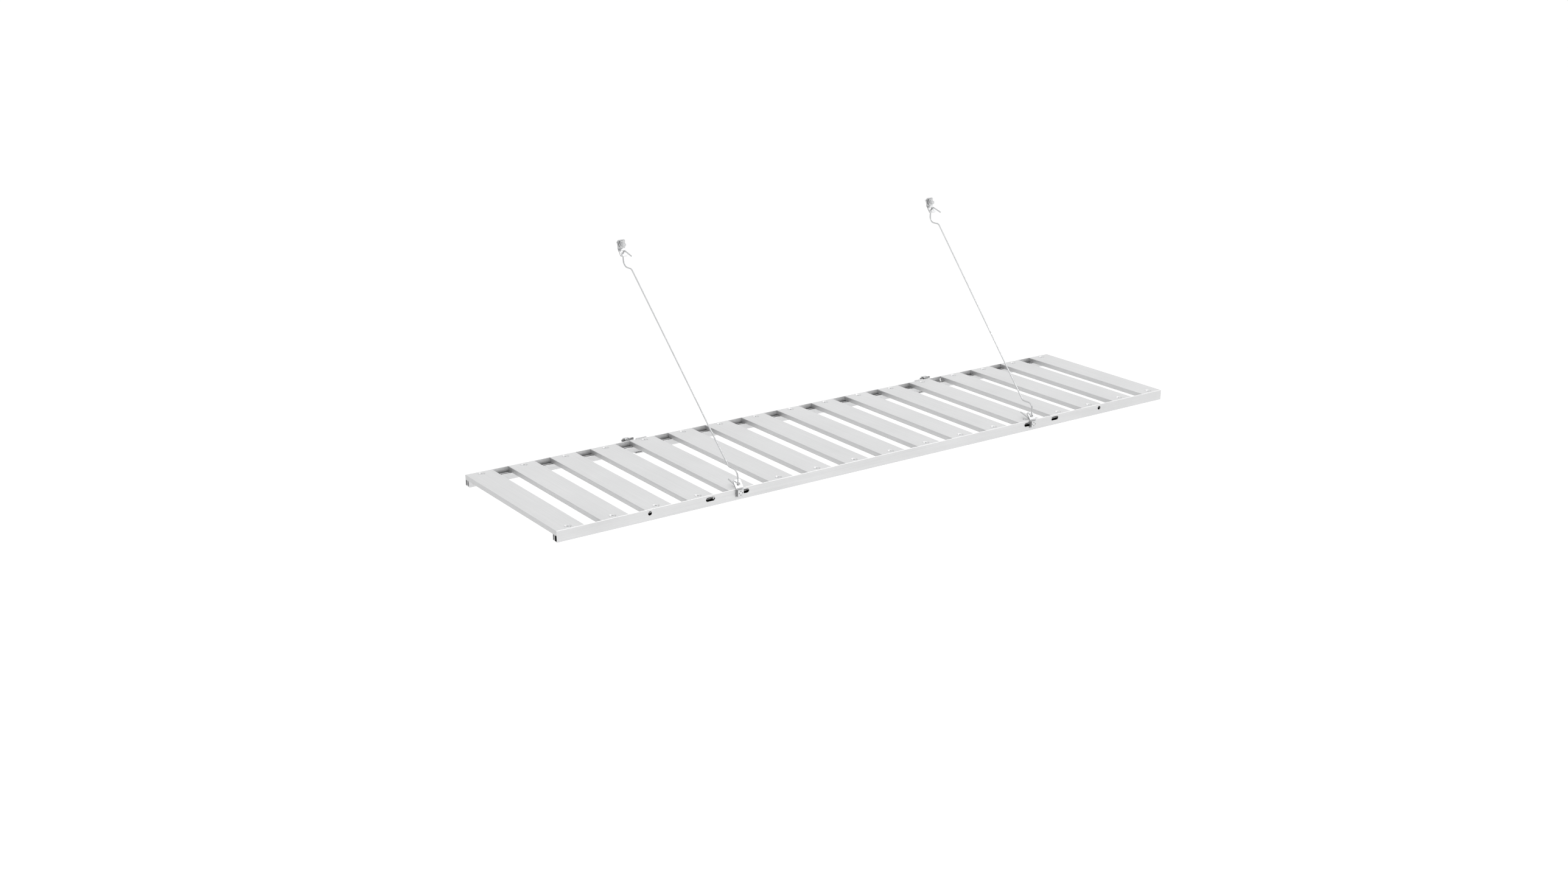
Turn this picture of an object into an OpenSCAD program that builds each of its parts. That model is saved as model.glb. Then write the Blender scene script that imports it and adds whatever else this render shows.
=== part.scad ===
// Wall-hung slatted rack: two extruded rails carry seventeen channel slats, two
// brackets hold the rear rail off the wall, and two bent wire hangers carry the front.
// Millimetres, +Z up, front towards -Y. The origin lies on the wall plane, midway
// between the fixings, level with the top of the slats.

/* [Shelf] */
// Length of both rails along the wall
shelf_length = 1200; // [1120:10:1280]
// Depth from the front face to the rear face of the rails
shelf_depth = 292.5; // [285:0.5:300]
// Gap between the wall and the rear face of the rear rail
wall_gap = 9.4; // [9:0.2:12]

/* [Rails] */
// Height of a rail
rail_height = 17.2; // [16.4:0.2:18]
// Overall width of the rail section
rail_width = 13.5; // [13.5:0.1:15]
// Thickness of the outer wall and of the floor
rail_wall = 1.2; // [1:0.1:1.3]
// Thickness of the partition between the two channels
partition_thickness = 1.6; // [1.2:0.1:1.8]
// Thickness of the inner wall
inner_wall = 2.1; // [1.8:0.1:2.2]
// Width of the narrow channel that takes the slat screws
screw_channel = 3.4; // [3.3:0.1:3.6]

/* [Slats] */
// Width of one slat
slat_width = 45; // [40:1:50]
// Height of one slat
slat_height = 7.8; // [7.6:0.1:8.4]
// Thickness of the slat's skin
slat_skin = 1; // [0.8:0.1:1]

/* [Wall fixings] */
// Distance between the left and right wall bolts
bolt_spacing = 621.4; // [612:0.2:630]
// Height of the upper wall bolts above the slats
anchor_height = 319.7; // [310:0.1:340]
// Distance between the left and right hanger clips on the front rail
clip_spacing = 588.2; // [584:0.2:592]

/* [Hangers] */
// Diameter of the hanger wire
wire_diameter = 2.3; // [2:0.1:2.4]
// Bend radius of the end hooks
hook_radius = 7.5; // [7.4:0.1:7.8]
// Upward lean of the hook tails from level
tail_lean = 15; // [13:1:18]

/* [Hidden] */
$fn = 48;
eps = 0.01;
slat_count = 17;
SLATS = ["slat_01", "slat_02", "slat_03", "slat_04", "slat_05", "slat_06", "slat_07",
    "slat_08", "slat_09", "slat_10", "slat_11", "slat_12", "slat_13", "slat_14",
    "slat_15", "slat_16", "slat_17"];

// Shelf layout
rear_face = -wall_gap;
front_face = rear_face - shelf_depth;
slat_pitch = (shelf_length - slat_width) / (slat_count - 1);
slat_play = 0.1;
slat_length = shelf_depth - 2 * (rail_wall + slat_play);
edge_round = 0.9;

// Rail section, measured inwards from the outer face
channel_2_far = rail_width - inner_wall;
channel_2_near = channel_2_far - screw_channel;
channel_1_far = channel_2_near - partition_thickness;
screw_line = (channel_2_far + channel_2_near) / 2;

// Fixing holes in the rails
hole_diameter = 6.6;
hole_level = -6.2;
round_hole_spacing = 897.6;
short_slot_spacing = 690.2;
short_slot_length = 16.2;
long_slot_spacing = 577.4;
long_slot_length = 24.6;

// Slat screws and the dimples that hold their heads
dimple_radius = 5.8;
dimple_depth = 2.1;
dimple_floor_radius = 4;
dimple_skin = 0.9;
dimple_flare = 0.5;
screw_head_radius = 3.7;
screw_head_rim = 0.9;
screw_head_height = 1.9;
screw_dome_radius = 7.3;
screw_shank = 3.2;
screw_length = 12;
screw_recess = [4.2, 0.8, 1];

// Bent eye plates, one part used at the wall and on the front rail
plate_thickness = 1.5;
plate_width = 12.8;
plate_leg = 13.4;
plate_hole_drop = 6.4;
tongue_length = 13.4;
tongue_lean = 40;
tongue_bend = 1;
eye_reach = 6.2;
plate_corner = 2;
clip_fold_level = hole_level + plate_hole_drop;

// M6 fasteners
thread = 6;
thread_play = 0.1;
nut_flats = 10;
nut_height = 2.5;
nut_chamfer = 0.4;
square_flats = 10.4;
square_corner = 0.4;
bolt_stick_out = 7;
bracket_stick_out = 0.5;
bolt_tip = 0.6;
flush_tip = 0.06;
stake_radius = 0.75;
stake_depth = 1.4;
head_gap = 2;
crop_head = [12.4, 3.4, 6.6];
crop_slant = 3;
hex_head_height = 2.6;

// Rear brackets, measured outwards from the middle of the shelf
bracket_play = 0.2;
seat_level = -rail_height - bracket_play;
rail_tab = [278.4, 300.5];
rail_tab_top = 1.3;
rail_tab_middle = (rail_tab[0] + rail_tab[1]) / 2;
wall_tab = [298.7, 321.1];
wall_tab_top = 0.9;
bracket_bolt_level = -2.1;
leg_span = [278.4, 309.1];
leg_reach = 15.9;
rail_tab_corner = 2.5;
wall_tab_corner = 0.8;

// Bends are a hair larger than the straights they join
bend_lap = 0.1;
bend_swell = 0.01;

// Eye centre of a bent plate, as [y, z] from its fold
tongue_middle = tongue_bend + plate_thickness / 2;
plate_eye = [tongue_bend - tongue_middle * cos(tongue_lean) + eye_reach * sin(tongue_lean),
    tongue_middle * sin(tongue_lean) + eye_reach * cos(tongue_lean)];
low_eye = [front_face + plate_eye[0], clip_fold_level + plate_eye[1]];
high_eye = [-plate_thickness - plate_eye[0], anchor_height - plate_hole_drop - plate_eye[1]];

// Hanger wire: both ends carry the same hook and gooseneck
hook_lean = 25;
hook_turn = 90 + tail_lean;
tail_reach = 17.5;
hook_seat = 1.2;
neck_rise = 21.5;
neck_radius = 10;
shank_run = 23;
shank_radius = 8;
eye_gap = (bolt_spacing - clip_spacing) / 2;
eye_rise = high_eye[1] - hook_seat - low_eye[1];
sway = atan(eye_gap / eye_rise);

// Helper shapes

function heading(a, b) = atan2(b[1] - a[1], b[0] - a[0]);
function turn(a, b, c) = (heading(b, c) - heading(a, b) + 540) % 360 - 180;
function along(a, b, d) = a + d * (b - a) / norm(b - a);

// Both hands of a paired piece share one drawing, made for the left side
module on_side(s) {
    if (s < 0) children();
    else mirror([1, 0, 0]) children();
}

// Cylinder along +Y from y = 0
module rod_y(r, length) {
    rotate([-90, 0, 0]) cylinder(r = r, h = length);
}

// Slot along X, cut through along Y, centred on the origin
module slot_y(length, width, through) {
    run = length - width;
    for (x = [-run / 2, run / 2])
        translate([x, -through / 2, 0]) rod_y(width / 2, through);
    translate([-run / 2, -through / 2, -width / 2]) cube([run, through, width]);
}

// Hexagonal block along -Y from y = 0, its corners rounded off at both ends
module hex_block(height) {
    corner = nut_flats / 2 / cos(30);
    rotate([90, 0, 0]) intersection() {
        cylinder(r = corner, h = height, $fn = 6);
        union() {
            cylinder(r1 = corner - nut_chamfer, r2 = corner + eps, h = nut_chamfer);
            translate([0, 0, nut_chamfer])
                cylinder(r = corner + eps, h = height - 2 * nut_chamfer);
            translate([0, 0, height - nut_chamfer])
                cylinder(r1 = corner + eps, r2 = corner - nut_chamfer, h = nut_chamfer);
        }
    }
}

// Thin hexagonal nut, back face at y = 0
module hex_nut() {
    difference() {
        hex_block(nut_height);
        nut_bore();
    }
}

module nut_bore() {
    translate([0, -nut_height - eps, 0])
        rod_y((thread + thread_play) / 2, nut_height + 2 * eps);
}

// Thin square nut, back face at y = 0, staked to its bolt at four points
module square_nut() {
    half = square_flats / 2 - square_corner;
    difference() {
        rotate([90, 0, 0]) linear_extrude(nut_height) union() {
            square([square_flats, 2 * half], center = true);
            square([2 * half, square_flats], center = true);
            for (x = [-half, half], z = [-half, half])
                translate([x, z]) circle(r = square_corner);
        }
        nut_bore();
        translate([0, -nut_height, 0]) stake_marks();
    }
}

// Four punched marks on the thread, sunk towards +Y from y = 0
module stake_marks() {
    for (a = [0, 90, 180, 270])
        rotate([0, a, 0]) translate([thread / 2, -eps, 0]) rod_y(stake_radius, stake_depth);
}

// Bolt with a cropped head for a slotted glazing bar; the wall plane is y = 0
module crop_bolt(stick_out) {
    front = plate_thickness + nut_height + stick_out;
    translate([0, -front, 0]) {
        translate([0, bolt_tip, 0]) rod_y(thread / 2, front + head_gap - bolt_tip + eps);
        rotate([-90, 0, 0])
            cylinder(r1 = thread / 2 - bolt_tip, r2 = thread / 2, h = bolt_tip);
    }
    translate([0, head_gap, 0])
        rotate([-90, 0, 0]) linear_extrude(crop_head[1])
            polygon([[-crop_head[0] / 2, -crop_head[2] / 2],
                [crop_head[0] / 2 - crop_slant, -crop_head[2] / 2],
                [crop_head[0] / 2, crop_head[2] / 2],
                [-crop_head[0] / 2 + crop_slant, crop_head[2] / 2]]);
}

// Rectangular plate across X with two rounded corners at its far end in +Z
module tab(width, height, thickness, corner) {
    difference() {
        translate([-width / 2, 0, 0]) cube([width, thickness, height]);
        for (s = [-1, 1])
            translate([s * (width / 2 - corner), -eps, height - corner])
                difference() {
                    translate([s > 0 ? 0 : -corner - eps, 0, 0])
                        cube([corner + eps, thickness + 2 * eps, corner + eps]);
                    translate([0, -eps, 0]) rod_y(corner, thickness + 4 * eps);
                }
    }
}

// Eye plate: a flat leg bored for the bolt, and a tongue with the hanger's eye that
// leans towards +Y. The leg's +Y face is y = 0 and the bend starts at z = 0.
module eye_plate() {
    t = plate_thickness;
    difference() {
        union() {
            translate([0, -t, bend_lap]) mirror([0, 0, 1])
                tab(plate_width, plate_leg + bend_lap, t, plate_corner);
            translate([0, tongue_bend, 0]) {
                rotate([0, 90, 0]) rotate([0, 0, 270 - tongue_lean])
                    rotate_extrude(angle = tongue_lean)
                        translate([tongue_bend - bend_swell, -plate_width / 2 - bend_swell])
                            square([t + 2 * bend_swell, plate_width + 2 * bend_swell]);
                rotate([-tongue_lean, 0, 0]) translate([0, -tongue_bend - t, -bend_lap])
                    tab(plate_width, tongue_length + bend_lap, t, plate_corner);
            }
        }
        translate([0, -t - 1, -plate_hole_drop]) rod_y(hole_diameter / 2, t + 2);
        translate([0, tongue_bend, 0]) rotate([-tongue_lean, 0, 0])
            translate([0, -tongue_bend - t - 1, eye_reach]) rod_y(hole_diameter / 2, t + 2);
    }
}

// Wire in the YZ plane through the points given as [y, z], with one bend radius for
// each inner point
module wire(points, radii) {
    last = len(points) - 1;
    setback = [for (i = [0 : last]) i == 0 || i == last ? 0
        : radii[i - 1] * tan(abs(turn(points[i - 1], points[i], points[i + 1])) / 2)];
    for (i = [0 : last - 1]) {
        a = along(points[i], points[i + 1], setback[i] - (i == 0 ? 0 : bend_lap));
        b = along(points[i + 1], points[i], setback[i + 1] - (i == last - 1 ? 0 : bend_lap));
        translate([0, a[0], a[1]]) rotate([heading(a, b) - 90, 0, 0])
            cylinder(d = wire_diameter - 2 * bend_swell, h = norm(b - a));
    }
    for (i = [1 : last - 1]) {
        t = turn(points[i - 1], points[i], points[i + 1]);
        way = heading(points[i - 1], points[i]);
        start = along(points[i], points[i - 1], setback[i]);
        normal = (t > 0 ? 1 : -1) * [-sin(way), cos(way)];
        centre = start + radii[i - 1] * normal;
        translate([0, centre[0], centre[1]]) rotate([90, 0, 90])
            rotate([0, 0, t > 0 ? way - 90 : way + 90 + t])
                rotate_extrude(angle = abs(t))
                    translate([radii[i - 1], 0]) circle(d = wire_diameter);
    }
}

// Rails

// Comb-shaped section: outer wall, wide nut channel, partition, screw channel, inner wall
module rail_section() {
    floor_level = -rail_height + rail_wall;
    seat = -slat_height;
    polygon([[0, 0], [0, -rail_height], [rail_width, -rail_height], [rail_width, seat],
        [channel_2_far, seat], [channel_2_far, floor_level], [channel_2_near, floor_level],
        [channel_2_near, seat], [channel_1_far, seat], [channel_1_far, floor_level],
        [rail_wall, floor_level], [rail_wall, 0]]);
}

// Rail with its outer face on y = 0 and its channels towards +Y
module rail() {
    difference() {
        translate([-shelf_length / 2, 0, 0]) rotate([90, 0, 90])
            linear_extrude(shelf_length) rail_section();
        for (s = [-1, 1]) {
            translate([s * round_hole_spacing / 2, -1, hole_level])
                rod_y(hole_diameter / 2, rail_wall + 2);
            translate([s * short_slot_spacing / 2, rail_wall / 2, hole_level])
                slot_y(short_slot_length, hole_diameter, rail_wall + 2);
            translate([s * long_slot_spacing / 2, rail_wall / 2, hole_level])
                slot_y(long_slot_length, hole_diameter, rail_wall + 2);
        }
    }
}

module front_rail() {
    color([0.80, 0.81, 0.82]) translate([0, front_face, 0]) rail();
}

module rear_rail() {
    color([0.80, 0.81, 0.82]) translate([0, rear_face, 0]) mirror([0, 1, 0]) rail();
}

// Slats

// Inverted channel with softened top edges
module slat_section() {
    difference() {
        union() {
            translate([-slat_width / 2, -slat_height])
                square([slat_width, slat_height - edge_round]);
            translate([-slat_width / 2 + edge_round, -edge_round - eps])
                square([slat_width - 2 * edge_round, edge_round + eps]);
            for (s = [-1, 1])
                translate([s * (slat_width / 2 - edge_round), -edge_round])
                    circle(r = edge_round);
        }
        translate([-slat_width / 2 + slat_skin, -slat_height - 1])
            square([slat_width - 2 * slat_skin, slat_height + 1 - slat_skin]);
    }
}

// Pressed dimple on the slat's axis, and the hollow that its tool leaves
module dimple_body() {
    translate([0, 0, -dimple_depth - dimple_skin])
        cylinder(r1 = dimple_floor_radius + dimple_skin / 2, r2 = dimple_radius + dimple_flare,
            h = dimple_depth + dimple_skin - slat_skin / 2);
}

module dimple_hollow() {
    translate([0, 0, -dimple_depth])
        cylinder(r1 = dimple_floor_radius, r2 = dimple_radius, h = dimple_depth);
    cylinder(r = dimple_radius, h = 1);
    translate([0, 0, -dimple_depth - dimple_skin - 1])
        cylinder(d = screw_shank + 0.4, h = dimple_skin + 2);
}

module slat(index) {
    color([0.82, 0.83, 0.84])
    translate([(index - (slat_count - 1) / 2) * slat_pitch, 0, 0]) difference() {
        union() {
            translate([0, front_face + rail_wall + slat_play + slat_length, 0])
                rotate([90, 0, 0]) linear_extrude(slat_length) slat_section();
            for (y = [front_face + screw_line, rear_face - screw_line])
                translate([0, y, 0]) dimple_body();
        }
        for (y = [front_face + screw_line, rear_face - screw_line])
            translate([0, y, 0]) dimple_hollow();
    }
}

// Pan-head screw standing on the dimple's floor, z = 0 at the top of the slat
module slat_screw() {
    difference() {
        union() {
            translate([0, 0, -dimple_depth]) {
                cylinder(r = screw_head_radius, h = screw_head_rim);
                intersection() {
                    translate([0, 0, screw_head_height - screw_dome_radius])
                        sphere(r = screw_dome_radius, $fn = 64);
                    translate([0, 0, screw_head_rim - eps])
                        cylinder(r = screw_head_radius, h = screw_head_height);
                }
            }
            translate([0, 0, -dimple_depth - screw_length])
                cylinder(d = screw_shank, h = screw_length + eps);
        }
        for (a = [0, 90])
            rotate([0, 0, a + 20])
                translate([-screw_recess[0] / 2, -screw_recess[1] / 2,
                    screw_head_height - dimple_depth - screw_recess[2]])
                    cube([screw_recess[0], screw_recess[1], screw_recess[2] + 1]);
    }
}

module slat_screws(y) {
    color([0.62, 0.63, 0.65])
    for (i = [0 : slat_count - 1])
        translate([(i - (slat_count - 1) / 2) * slat_pitch, y, 0]) slat_screw();
}

// Front hanger clips

module hanger_clip(s) {
    color([0.87, 0.88, 0.89])
    translate([s * clip_spacing / 2, front_face, clip_fold_level]) eye_plate();
}

// Bolt with its hexagonal head inside a rail's wide channel; the rail's outer face is
// y = 0 and the bolt leaves towards -Y, ending level with its nut
module rail_bolt() {
    length = rail_wall + plate_thickness + nut_height;
    translate([0, rail_wall + hex_head_height, 0]) hex_block(hex_head_height);
    translate([0, rail_wall - length, 0]) difference() {
        union() {
            translate([0, flush_tip, 0]) rod_y(thread / 2, length - flush_tip + eps);
            rotate([-90, 0, 0])
                cylinder(r1 = thread / 2 - flush_tip, r2 = thread / 2, h = flush_tip);
        }
        stake_marks();
    }
}

module clip_bolt(s) {
    color([0.68, 0.69, 0.71])
    translate([s * clip_spacing / 2, front_face, hole_level]) rail_bolt();
}

module clip_nut(s) {
    color([0.68, 0.69, 0.71])
    translate([s * clip_spacing / 2, front_face - plate_thickness, hole_level])
        square_nut();
}

// Hangers

// Half of the wire as [y, z] from its eye: tail end, hook corner, neck and shank
function hanger_half() = let(
    side_line = 225 + tail_lean / 2,
    corner = hook_radius * [cos(hook_lean), sin(hook_lean)]
        + hook_radius / cos(hook_turn / 2) * [cos(side_line), sin(side_line)],
    tail = tail_reach + hook_radius * tan(hook_turn / 2))
    [corner + tail * [cos(tail_lean), sin(tail_lean)], corner, [corner[0], neck_rise],
        [shank_run, neck_rise]];

module hanger_rod(s) {
    half = hanger_half();
    top = [high_eye[0] - low_eye[0], eye_rise / cos(sway)];
    path = concat(half, [for (i = [3 : -1 : 0]) top - half[i]]);
    color([0.78, 0.79, 0.80])
    on_side(s) translate([-clip_spacing / 2, low_eye[0], low_eye[1]])
        rotate([0, -sway, 0])
            wire(path, [hook_radius, neck_radius, shank_radius, shank_radius, neck_radius,
                hook_radius]);
}

// Wall fixings

module anchor_plate(s) {
    color([0.87, 0.88, 0.89])
    translate([s * bolt_spacing / 2, -plate_thickness, anchor_height - plate_hole_drop])
        rotate([180, 0, 0]) eye_plate();
}

module anchor_bolt(s) {
    color([0.70, 0.71, 0.73])
    translate([s * bolt_spacing / 2, 0, anchor_height]) crop_bolt(bolt_stick_out);
}

module anchor_nut(s) {
    color([0.70, 0.71, 0.73])
    translate([s * bolt_spacing / 2, -plate_thickness, anchor_height]) hex_nut();
}

// Folded bracket, drawn for the left side: a leg under the rail, a tab bolted to the
// rail's rear face and a slotted tab on the wall
module rear_bracket(s) {
    leg_front = rear_face - leg_reach;
    t = plate_thickness;
    rail_tab_width = rail_tab[1] - rail_tab[0];
    wall_tab_width = wall_tab[1] - wall_tab[0];
    color([0.76, 0.77, 0.78])
    on_side(s) difference() {
        union() {
            translate([-leg_span[1], leg_front, seat_level - t])
                cube([leg_span[1] - leg_span[0], leg_reach, t]);
            translate([-wall_tab[1], rear_face - t, seat_level - t])
                cube([wall_tab_width, wall_gap, t]);
            translate([-rail_tab_middle, rear_face, seat_level])
                tab(rail_tab_width, rail_tab_top - seat_level, t, rail_tab_corner);
            translate([-(wall_tab[0] + wall_tab[1]) / 2, -t, seat_level])
                tab(wall_tab_width, wall_tab_top - seat_level, t, wall_tab_corner);
            translate([-rail_tab[1], rear_face, seat_level]) bend_corner(rail_tab_width);
            translate([-wall_tab[1], -t, seat_level]) bend_corner(wall_tab_width);
        }
        translate([-bolt_spacing / 2, -t - 1, bracket_bolt_level]) {
            rod_y(hole_diameter / 2, t + 2);
            translate([-hole_diameter / 2, 0, 0]) cube([hole_diameter, t + 2, 20]);
        }
        translate([-rail_tab_middle, rear_face - 1, hole_level])
            rod_y(hole_diameter / 2, t + 2);
    }
}

// Quarter round that joins a leg to a tab, along +X from the inner corner
module bend_corner(length) {
    intersection() {
        rotate([0, 90, 0]) cylinder(r = plate_thickness, h = length);
        translate([0, 0, -plate_thickness]) cube([length, plate_thickness, plate_thickness]);
    }
}

module bracket_bolt(s) {
    color([0.70, 0.71, 0.73])
    translate([s * bolt_spacing / 2, 0, bracket_bolt_level]) crop_bolt(bracket_stick_out);
}

module bracket_nut(s) {
    color([0.70, 0.71, 0.73])
    translate([s * bolt_spacing / 2, -plate_thickness, bracket_bolt_level])
        rotate([0, 30, 0]) hex_nut();
}

module tab_bolt(s) {
    color([0.68, 0.69, 0.71])
    translate([s * rail_tab_middle, rear_face, hole_level]) mirror([0, 1, 0]) rail_bolt();
}

module tab_nut(s) {
    color([0.68, 0.69, 0.71])
    translate([s * rail_tab_middle, rear_face + plate_thickness, hole_level])
        mirror([0, 1, 0]) square_nut();
}

for (i = [0 : slat_count - 1])
    slat(i);
front_rail();
rear_rail();
slat_screws(front_face + screw_line);  // slat_screws_front
slat_screws(rear_face - screw_line);  // slat_screws_rear
hanger_clip(-1);  // hanger_clip_left
hanger_clip(1);  // hanger_clip_right
clip_bolt(-1);  // clip_bolt_left
clip_bolt(1);  // clip_bolt_right
clip_nut(-1);  // clip_nut_left
clip_nut(1);  // clip_nut_right
hanger_rod(-1);  // hanger_rod_left
hanger_rod(1);  // hanger_rod_right
anchor_plate(-1);  // anchor_plate_left
anchor_plate(1);  // anchor_plate_right
anchor_bolt(-1);  // anchor_bolt_left
anchor_bolt(1);  // anchor_bolt_right
anchor_nut(-1);  // anchor_nut_left
anchor_nut(1);  // anchor_nut_right
rear_bracket(-1);  // rear_bracket_left
rear_bracket(1);  // rear_bracket_right
bracket_bolt(-1);  // bracket_bolt_left
bracket_bolt(1);  // bracket_bolt_right
bracket_nut(-1);  // bracket_nut_left
bracket_nut(1);  // bracket_nut_right
tab_bolt(-1);  // tab_bolt_left
tab_bolt(1);  // tab_bolt_right
tab_nut(-1);  // tab_nut_left
tab_nut(1);  // tab_nut_right
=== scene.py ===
import math

import bpy
from mathutils import Matrix, Vector


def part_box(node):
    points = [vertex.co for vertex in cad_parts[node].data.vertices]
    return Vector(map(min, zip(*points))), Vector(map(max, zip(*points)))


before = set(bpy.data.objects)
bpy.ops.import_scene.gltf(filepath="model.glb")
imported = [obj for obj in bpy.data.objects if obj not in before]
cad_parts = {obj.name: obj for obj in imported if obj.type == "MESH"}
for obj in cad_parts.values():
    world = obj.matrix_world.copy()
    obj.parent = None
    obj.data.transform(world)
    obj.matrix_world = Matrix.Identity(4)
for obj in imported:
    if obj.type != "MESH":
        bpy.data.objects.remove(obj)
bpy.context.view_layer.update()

MM = 0.001
X_AXIS, Y_AXIS, Z_AXIS = 0, 1, 2
# What a mask does over a span of values
RISING = (0.0, 1.0)
FALLING = (1.0, 0.0)

SLAT_COUNT = 17
slat_a, slat_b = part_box("slat_01"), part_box("slat_02")
SLAT_PITCH = slat_b[0][X_AXIS] - slat_a[0][X_AXIS]
SLAT_HALF = (slat_a[1][X_AXIS] - slat_a[0][X_AXIS]) / 2


# Camera

CAMERA_LENS_MM = 40.70
CAMERA_SENSOR_MM = 36
CAMERA_REACH = 60
CAMERA_PLACE = (-1.6686, -2.3700, 0.8896)
CAMERA_LOOK = (0.54687, 0.77691, -0.31202)
CAMERA_RIGHT = (0.81767, -0.57569, -0.00033)

camera_data = bpy.data.cameras.new("camera")
camera_data.sensor_width = CAMERA_SENSOR_MM
camera_data.lens = CAMERA_LENS_MM
camera_data.clip_end = CAMERA_REACH
camera = bpy.data.objects.new("camera", camera_data)
bpy.context.collection.objects.link(camera)
look = Vector(CAMERA_LOOK).normalized()
right = Vector(CAMERA_RIGHT).normalized()
up = right.cross(look).normalized()
rotation = Matrix((right, up, -look)).transposed().to_4x4()
camera.matrix_world = Matrix.Translation(CAMERA_PLACE) @ rotation
bpy.context.scene.camera = camera
bpy.context.scene.view_settings.view_transform = "Standard"


# Studio light

# White studio, darker round the key lights so that their highlights stand out
SKY_OPEN = 1.08
SKY_ROUND_KEYS = 0.38
TOWARD_KEYS = (0.40, -0.60, 0.70)
# Cosines of the angle to the key lights, where the sky starts to darken and is darkest
SKY_DARKENS = (0.70, 0.94)

world = bpy.data.worlds.new("studio")
bpy.context.scene.world = world
world.use_nodes = True
sky = world.node_tree.nodes["Background"]
sky.inputs["Strength"].default_value = 1.0
toward_key = world.node_tree.nodes.new("ShaderNodeVectorMath")
toward_key.operation = "DOT_PRODUCT"
toward_key.inputs[1].default_value = Vector(TOWARD_KEYS).normalized()
sky_place = world.node_tree.nodes.new("ShaderNodeTexCoord")
world.node_tree.links.new(sky_place.outputs["Generated"], toward_key.inputs[0])
sky_shade = world.node_tree.nodes.new("ShaderNodeMapRange")
sky_shade.interpolation_type = "SMOOTHSTEP"
for socket, value in zip(sky_shade.inputs[1:5], (*SKY_DARKENS, SKY_OPEN, SKY_ROUND_KEYS)):
    socket.default_value = value
world.node_tree.links.new(toward_key.outputs["Value"], sky_shade.inputs["Value"])
world.node_tree.links.new(sky_shade.outputs["Result"], sky.inputs["Color"])


def area_light(name, place, target, size, power):
    data = bpy.data.lights.new(name, "AREA")
    data.shape = "DISK"
    data.size = size
    data.energy = power
    light = bpy.data.objects.new(name, data)
    bpy.context.collection.objects.link(light)
    aim = (Vector(target) - Vector(place)).to_track_quat("-Z", "Y")
    light.matrix_world = Matrix.Translation(place) @ aim.to_matrix().to_4x4()


# One key light for each clip, placed where its bent tongue mirrors it to the camera
KEY_SIZE = 0.8
area_light("key", (1.15, -1.8, 2.6), (0, -0.15, 0), KEY_SIZE, 20)
area_light("key_right", (2.4, -1.8, 2.6), (0.3, -0.15, 0), KEY_SIZE, 11)
area_light("top", (-0.4, -0.6, 3.2), (0, -0.15, 0), 2.6, 14)


# Material building


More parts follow.
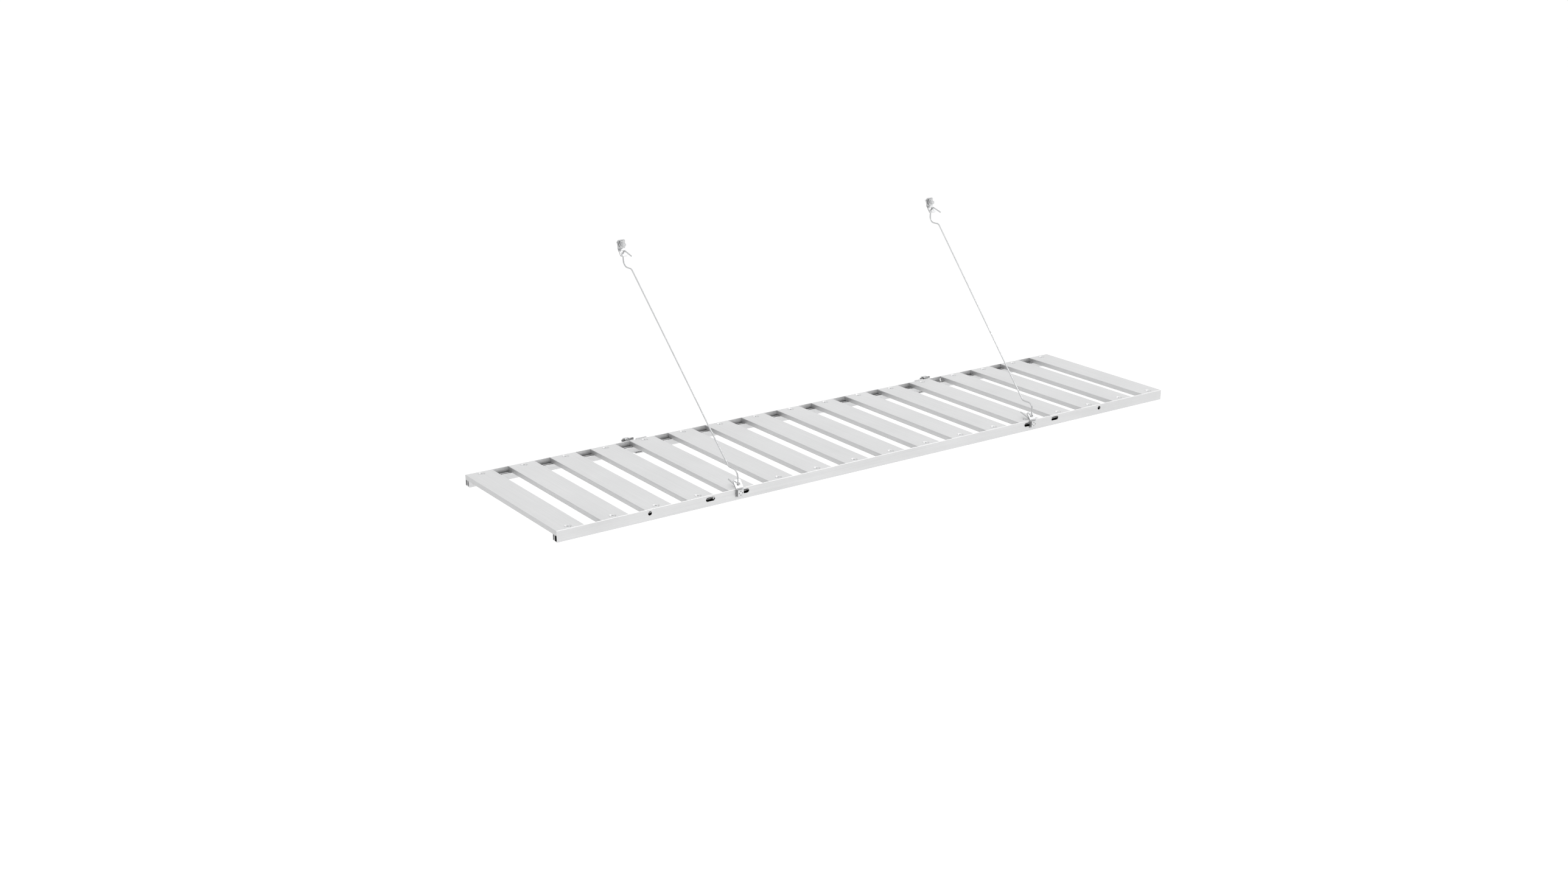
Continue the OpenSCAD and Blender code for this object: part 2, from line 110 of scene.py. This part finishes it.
class Net:
    """Small helper for building one node material."""

    BEVEL_SAMPLES = 6
    # Cosines between rounded and flat normal, where the edge mask starts and is full
    EDGE_TURN = (0.995, 0.80)
    OPEN_AIR_SAMPLES = 8
    # Shares of open air, where the crevice mask is full and where it ends
    CLOSED_IN = (0.12, 0.62)

    def __init__(self, name):
        self.material = bpy.data.materials.new(name)
        self.material.use_nodes = True
        self.tree = self.material.node_tree
        self.shader = self.tree.nodes["Principled BSDF"]

    def node(self, kind, **values):
        made = self.tree.nodes.new(kind)
        for key, value in values.items():
            setattr(made, key, value)
        return made

    def feed(self, socket, value):
        """Link a socket to another, or set it to a plain value."""
        if isinstance(value, bpy.types.NodeSocket):
            self.tree.links.new(value, socket)
        else:
            socket.default_value = value

    def math(self, operation, a, b=0.0, c=0.0, clamp=False):
        made = self.node("ShaderNodeMath", operation=operation, use_clamp=clamp)
        for socket, value in zip(made.inputs, (a, b, c)):
            self.feed(socket, value)
        return made.outputs[0]

    def place(self):
        return self.node("ShaderNodeTexCoord").outputs["Object"]

    def face_normal(self):
        return self.node("ShaderNodeNewGeometry").outputs["Normal"]

    def split(self, vector):
        made = self.node("ShaderNodeSeparateXYZ")
        self.feed(made.inputs[0], vector)
        return made.outputs

    def noise(self, scale, stretch=(1, 1, 1), detail=3.0, roughness=0.55):
        """Noise in object space; stretch holds the scale along each axis."""
        mapping = self.node("ShaderNodeMapping")
        self.feed(mapping.inputs["Vector"], self.place())
        mapping.inputs["Scale"].default_value = stretch
        made = self.node("ShaderNodeTexNoise")
        self.feed(made.inputs["Vector"], mapping.outputs[0])
        made.inputs["Scale"].default_value = scale
        made.inputs["Detail"].default_value = detail
        made.inputs["Roughness"].default_value = roughness
        return made.outputs["Fac"]

    def cells(self, scale):
        """Irregular cells in object space, each with its own value from 0 to 1."""
        made = self.node("ShaderNodeTexVoronoi", feature="F1")
        self.feed(made.inputs["Vector"], self.place())
        made.inputs["Scale"].default_value = scale
        return self.split(made.outputs["Color"])[0]

    def range(self, value, span, result):
        """Map a span of values to a pair of results, clamped at both ends."""
        made = self.node("ShaderNodeMapRange")
        for socket, v in zip(made.inputs, (value, *span, *result)):
            self.feed(socket, v)
        return made.outputs[0]

    def mix_colour(self, factor, a, b):
        """Mix of two colours; each is a colour socket or an RGB tuple."""
        made = self.node("ShaderNodeMix", data_type="RGBA")
        self.feed(made.inputs["Factor"], factor)
        for socket, colour in ((made.inputs["A"], a), (made.inputs["B"], b)):
            self.feed(socket, (*colour, 1) if isinstance(colour, tuple) else colour)
        return made.outputs["Result"]

    def edges(self, radius):
        """Rounded normal, and a mask that is 1 along the edges."""
        bevel = self.node("ShaderNodeBevel", samples=self.BEVEL_SAMPLES)
        bevel.inputs["Radius"].default_value = radius
        dot = self.node("ShaderNodeVectorMath", operation="DOT_PRODUCT")
        self.feed(dot.inputs[0], bevel.outputs["Normal"])
        self.feed(dot.inputs[1], self.face_normal())
        mask = self.range(dot.outputs["Value"], self.EDGE_TURN, RISING)
        return bevel.outputs["Normal"], mask

    def crevices(self, reach):
        """Mask for painted shade, 1 deep in corners and gaps and 0 in the open."""
        open_air = self.node("ShaderNodeAmbientOcclusion", samples=self.OPEN_AIR_SAMPLES)
        open_air.inputs["Distance"].default_value = reach
        return self.range(open_air.outputs["AO"], self.CLOSED_IN, FALLING)

    def bump(self, height, normal, strength, distance):
        made = self.node("ShaderNodeBump")
        made.inputs["Strength"].default_value = strength
        made.inputs["Distance"].default_value = distance
        self.feed(made.inputs["Height"], height)
        self.feed(made.inputs["Normal"], normal)
        return made.outputs["Normal"]


def scaled(colour, share):
    return tuple(c * share for c in colour)


# Noise scales are per metre. Along a drawn line the scale is this share of that across it.
LINE_STRETCH = 0.012
# Scale of the broader streaks, as a share of the lines'
STREAKS_PER_LINE = 0.28
GRAIN_SCALE = 2600.0
SPANGLE_SCALE = 420.0
# What makes up a metal's slow changes of tone
TONE_FROM_LINES, TONE_FROM_BLOTCHES, TONE_OFFSET = 0.45, 0.55, -0.02
TONE_SPAN = (0.36, 0.62)
# How much of an edge gets the bright edge tone, which is partly wear and partly a painted
# highlight, from the dull streaks to the bright ones
WEAR_AND_SHEEN_STREAKS, WEAR_AND_SHEEN_SHARE = (0.40, 0.60), (0.35, 1.0)
SPANGLE_SHARE = 0.5
# Faces that look along X get painted shade; the span is of their normal's X part. This and
# the painted shade in crevices go towards a share of the metal's dark tone.
SIDE_TURN, SIDE_SHADE_TONE = (0.55, 0.95), 0.25
CREVICE_SHADE_TONE = 0.12
# Roughness: streaks shift it, worn edges are smoother, grain adds a little
ROUGH_STREAKS, SMOOTHER, ROUGHER = (0.30, 0.70), 0.05, 0.07
ROUGH_FROM_WEAR, ROUGH_FROM_GRAIN = -0.10, 0.05
# Fine relief
HEIGHT_FROM_STREAKS, HEIGHT_FROM_GRAIN, LINE_STRENGTH = 0.8, 0.15, 0.35


def metal(name, dark, light, wear_and_sheen, rough, line_depth, along=None, line=900.0, blotch=9.0,
          edge=0.35 * MM, relief=None, spangle=0.0, crevice_shade=1.0, reach=3.0 * MM, side_shade=0.0,
          patches=()):
    """Satin metal: drawn lines along one axis, slow tone changes, bright edges of wear and
    painted highlight, painted shade on sides and in crevices, and painted patches.
    """
    net = Net(name)
    stretch = [1.0, 1.0, 1.0]
    if along is not None:
        stretch[along] = LINE_STRETCH
    lines = net.noise(line, stretch, detail=2.0)
    streaks = net.noise(line * STREAKS_PER_LINE, stretch, detail=4.0)
    slow = net.noise(blotch, detail=3.0)
    grain = net.noise(GRAIN_SCALE, detail=2.0, roughness=0.7)
    normal, edge_mask = net.edges(edge)

    tone = net.math("MULTIPLY_ADD", slow, TONE_FROM_BLOTCHES, TONE_OFFSET)
    tone = net.math("MULTIPLY_ADD", lines, TONE_FROM_LINES, tone)
    tone = net.range(tone, TONE_SPAN, RISING)
    colour = net.mix_colour(tone, dark, light)
    if spangle:
        facet = net.range(net.cells(SPANGLE_SCALE), (0.0, 1.0), (0.0, SPANGLE_SHARE))
        colour = net.mix_colour(facet, colour, scaled(dark, 1 - spangle))
    # Edges get a brighter tone: partly wear, partly a painted highlight
    wear_and_sheen_mask = net.range(streaks, WEAR_AND_SHEEN_STREAKS, WEAR_AND_SHEEN_SHARE)
    wear_and_sheen_mask = net.math("MULTIPLY", edge_mask, wear_and_sheen_mask, clamp=True)
    colour = net.mix_colour(wear_and_sheen_mask, colour, wear_and_sheen)
    # Painted shade on faces that look along X
    if side_shade:
        facing = net.math("ABSOLUTE", net.split(net.face_normal())[X_AXIS])
        side_shade_mask = net.range(facing, SIDE_TURN, (0.0, side_shade))
        colour = net.mix_colour(side_shade_mask, colour, scaled(dark, SIDE_SHADE_TONE))
    # Patches of painted shade and painted highlight
    for patch in patches:
        where, patch_tone = patch(net)
        colour = net.mix_colour(where, colour, patch_tone)
    # Painted shade in corners and gaps, towards the metal's dark tone
    shade = net.math("MULTIPLY", net.crevices(reach), crevice_shade)
    colour = net.mix_colour(shade, colour, scaled(dark, CREVICE_SHADE_TONE))
    net.feed(net.shader.inputs["Base Color"], colour)
    net.shader.inputs["Metallic"].default_value = 1.0

    roughness = net.range(streaks, ROUGH_STREAKS, (rough - SMOOTHER, rough + ROUGHER))
    roughness = net.math("MULTIPLY_ADD", wear_and_sheen_mask, ROUGH_FROM_WEAR, roughness)
    roughness = net.math("MULTIPLY_ADD", grain, ROUGH_FROM_GRAIN, roughness)
    net.feed(net.shader.inputs["Roughness"], roughness)

    height = net.math("MULTIPLY_ADD", streaks, HEIGHT_FROM_STREAKS, lines)
    height = net.math("MULTIPLY_ADD", grain, HEIGHT_FROM_GRAIN, height)
    normal = net.bump(height, normal, LINE_STRENGTH, line_depth)
    if relief is not None:
        depth, distance = relief(net)
        normal = net.bump(depth, normal, 1.0, distance)
    net.feed(net.shader.inputs["Normal"], normal)
    return net.material


# Relief that is too fine for CAD: each gives a height from 0 to 1 and its full depth

GROOVE_OFFSETS = (4.2 * MM, 6.0 * MM)
GROOVE_WALL = (0.10 * MM, 0.45 * MM)
GROOVE_DEPTH = 0.12 * MM
THREAD_PITCH = 1.0 * MM
THREAD_RADIUS = 3.05 * MM
THREAD_FADE = 0.05 * MM
THREAD_DEPTH = 0.5 * MM
# Added to Y along a thread, so that it is never negative
THREAD_START = 1.0


def slat_grooves(net):
    """Two pairs of shallow lines pressed along every slat, near its long edges."""
    x = net.split(net.place())[X_AXIS]
    half_pitch = SLAT_PITCH / 2
    never_negative = net.math("ADD", x, half_pitch + SLAT_PITCH * SLAT_COUNT)
    across = net.math("PINGPONG", never_negative, half_pitch)
    from_axis = net.math("SUBTRACT", half_pitch, across)
    total = None
    for offset in GROOVE_OFFSETS:
        gap = net.math("ABSOLUTE", net.math("SUBTRACT", from_axis, SLAT_HALF - offset))
        groove = net.range(gap, GROOVE_WALL, RISING)
        total = groove if total is None else net.math("MULTIPLY", total, groove)
    return total, GROOVE_DEPTH


def thread(centre_x, centre_z):
    """Screw thread along Y round an axis that is mirrored in X."""

    def relief(net):
        x, y, z = net.split(net.place())
        dx = net.math("SUBTRACT", net.math("ABSOLUTE", x), centre_x)
        dz = net.math("SUBTRACT", z, centre_z)
        turn = net.math("MULTIPLY", net.math("ARCTAN2", dz, dx), THREAD_PITCH / (2 * math.pi))
        along = net.math("ADD", net.math("ADD", y, THREAD_START), turn)
        wave = net.math("PINGPONG", along, THREAD_PITCH / 2)
        wave = net.math("MULTIPLY", wave, 2 / THREAD_PITCH)
        squares = (net.math("MULTIPLY", dx, dx), net.math("MULTIPLY", dz, dz))
        far = net.math("SQRT", net.math("ADD", *squares))
        on_shank = net.range(far, (THREAD_RADIUS, THREAD_RADIUS + THREAD_FADE), FALLING)
        return net.math("MULTIPLY", wave, on_shank), THREAD_DEPTH

    return relief


# Patches of painted shade and painted highlight: each gives a mask and its colour. Pairs are
# where a mask starts and is full, or is full and ends, in object space.

# Painted shade along the top of the bracket's wall tab
WALL_SHADE_Y, WALL_SHADE_Z = (-3.0 * MM, -1.5 * MM), (-1.0 * MM, -0.5 * MM)
WALL_SHADE_SHARE = 0.75
WALL_SHADE_TONE = (0.20, 0.20, 0.20)
# Painted highlight on the rail's upper edges and where the slats sit
LIP_Z = (-0.35 * MM, -0.15 * MM)
SEAT_FADE = (0.15 * MM, 0.35 * MM)
SEAT_FACES_UP = (0.5, 0.9)
LIP_HIGHLIGHT_TONE = (0.98, 0.98, 0.98)
CHANNEL_FRONT, CHANNEL_BACK = (1.0 * MM, 1.15 * MM), (6.5 * MM, 6.7 * MM)
CHANNEL_TOP, CHANNEL_FLOOR = (-8.6 * MM, -8.0 * MM), (-16.8 * MM, -16.4 * MM)
CHANNEL_TONE = (0.05, 0.05, 0.05)


def wall_tab_shade(net):
    """Painted shade along the upper edge of the bracket's wall tab, next to the wall."""
    _, y, z = net.split(net.place())
    near_wall = net.range(y, WALL_SHADE_Y, (0.0, WALL_SHADE_SHARE))
    near_top = net.range(z, WALL_SHADE_Z, RISING)
    return net.math("MULTIPLY", near_wall, near_top), WALL_SHADE_TONE


def painted_lip_highlight(net):
    """Painted highlight along the rail's upper edges and on its upward faces where the slats sit.
    """
    z = net.split(net.place())[Z_AXIS]
    lip = net.range(z, LIP_Z, RISING)
    off_seat = net.math("ABSOLUTE", net.math("SUBTRACT", z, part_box("slat_01")[0][Z_AXIS]))
    seat = net.range(off_seat, SEAT_FADE, FALLING)
    upward = net.range(net.split(net.face_normal())[Z_AXIS], SEAT_FACES_UP, RISING)
    seat = net.math("MULTIPLY", seat, upward)
    return net.math("MAXIMUM", lip, seat), LIP_HIGHLIGHT_TONE


def dark_channel(net):
    """The walls and floor of the front rail's wide channel, which little light reaches."""
    _, y, z = net.split(net.place())
    inward = net.math("SUBTRACT", y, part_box("front_rail")[0][Y_AXIS])
    inside = net.math("MULTIPLY", net.range(inward, CHANNEL_FRONT, RISING),
                      net.range(inward, CHANNEL_BACK, FALLING))
    below = net.math("MULTIPLY", net.range(z, CHANNEL_TOP, FALLING),
                     net.range(z, CHANNEL_FLOOR, RISING))
    return net.math("MULTIPLY", inside, below), CHANNEL_TONE


# Materials: the palettes' dark and light tones and their edge tones of wear and painted
# highlight, then one material per kind of piece

ALUMINIUM = dict(dark=(0.662, 0.664, 0.667), light=(0.702, 0.704, 0.707), wear_and_sheen=(0.90, 0.90, 0.90))
RAIL = dict(dark=(0.655, 0.657, 0.66), light=(0.705, 0.707, 0.71), wear_and_sheen=(0.88, 0.88, 0.88))
PLATE = dict(dark=(0.58, 0.585, 0.59), light=(0.64, 0.645, 0.65), wear_and_sheen=(0.86, 0.86, 0.86))
SATIN = dict(dark=(0.62, 0.625, 0.63), light=(0.70, 0.705, 0.71), wear_and_sheen=(0.84, 0.84, 0.84))
WIRE = dict(dark=(0.48, 0.485, 0.49), light=(0.55, 0.555, 0.56), wear_and_sheen=(0.60, 0.60, 0.60))

slat_metal = metal("slat_metal", rough=0.48, along=Y_AXIS, line_depth=0.006 * MM, crevice_shade=0.45,
                   side_shade=0.20, edge=0.2 * MM, relief=slat_grooves, **ALUMINIUM)
rail_metal = metal("rail_metal", rough=0.46, along=X_AXIS, edge=0.2 * MM, line_depth=0.006 * MM,
                   patches=(painted_lip_highlight, dark_channel), **RAIL)
bracket_metal = metal("bracket_metal", rough=0.42, along=X_AXIS, line=700.0, blotch=60.0,
                      line_depth=0.008 * MM, patches=(wall_tab_shade,), crevice_shade=0.3, **ALUMINIUM)
plate_metal = metal("plate_metal", rough=0.36, along=Z_AXIS, line=1200.0, blotch=90.0,
                    edge=0.2 * MM, line_depth=0.003 * MM, side_shade=0.70, reach=1.6 * MM, **PLATE)
wire_metal = metal("wire_metal", rough=0.30, blotch=70.0, line=1500.0, edge=0.1 * MM,
                   line_depth=0.008 * MM, **WIRE)
nut_metal = metal("nut_metal", rough=0.34, line=1400.0, blotch=160.0, edge=0.2 * MM,
                  line_depth=0.008 * MM, spangle=0.05, side_shade=0.75, reach=1.6 * MM, **SATIN)
screw_metal = metal("screw_metal", rough=0.40, line=1600.0, blotch=150.0, edge=0.2 * MM,
                    line_depth=0.01 * MM, crevice_shade=0.8, **SATIN)


def bolt_axis(node):
    low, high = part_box(node)
    return abs(low[X_AXIS] + high[X_AXIS]) / 2, (low[Z_AXIS] + high[Z_AXIS]) / 2


# What a node's name starts with, and its material; the first that fits is used
looks = {
    "slat_screws": screw_metal,
    "slat_": slat_metal,
    "front_rail": rail_metal,
    "rear_rail": rail_metal,
    "rear_bracket": bracket_metal,
    "hanger_clip": plate_metal,
    "anchor_plate": plate_metal,
    "hanger_rod": wire_metal,
}
for kind in ("anchor", "bracket", "clip", "tab"):
    looks[kind + "_nut"] = nut_metal
    looks[kind + "_bolt"] = metal(
        kind + "_bolt_metal", rough=0.34, line=1400.0, blotch=120.0, edge=0.2 * MM,
        line_depth=0.01 * MM, relief=thread(*bolt_axis(kind + "_bolt_left")), **SATIN)

for name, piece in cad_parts.items():
    material = next(choice for start, choice in looks.items() if name.startswith(start))
    if not piece.material_slots:
        piece.data.materials.append(material)
    for slot in piece.material_slots:
        slot.material = material


# Floor, well below the shelf

FLOOR_REACH = 60.0
FLOOR_Z = -0.85
FLOOR_TONES = ((0.90, 0.90, 0.90), (0.93, 0.93, 0.93))
FLOOR_BLOTCH = 3.0
FLOOR_ROUGHNESS = 0.95
# Just enough glow to bring the lit floor to white
FLOOR_GLOW = 0.17

corners = [(x * FLOOR_REACH, y * FLOOR_REACH, 0) for x, y in ((-1, -1), (1, -1), (1, 1), (-1, 1))]
floor_mesh = bpy.data.meshes.new("floor")
floor_mesh.from_pydata(corners, [], [(0, 1, 2, 3)])
floor = bpy.data.objects.new("floor", floor_mesh)
bpy.context.collection.objects.link(floor)
floor.location = (0, 0, FLOOR_Z)
paint = Net("floor_paint")
blotches = paint.noise(FLOOR_BLOTCH, detail=2.0)
paint.feed(paint.shader.inputs["Base Color"], paint.mix_colour(blotches, *FLOOR_TONES))
paint.shader.inputs["Roughness"].default_value = FLOOR_ROUGHNESS
paint.shader.inputs["Emission Color"].default_value = (1, 1, 1, 1)
paint.shader.inputs["Emission Strength"].default_value = FLOOR_GLOW
paint.shader.inputs["Specular IOR Level"].default_value = 0.0
floor_mesh.materials.append(paint.material)
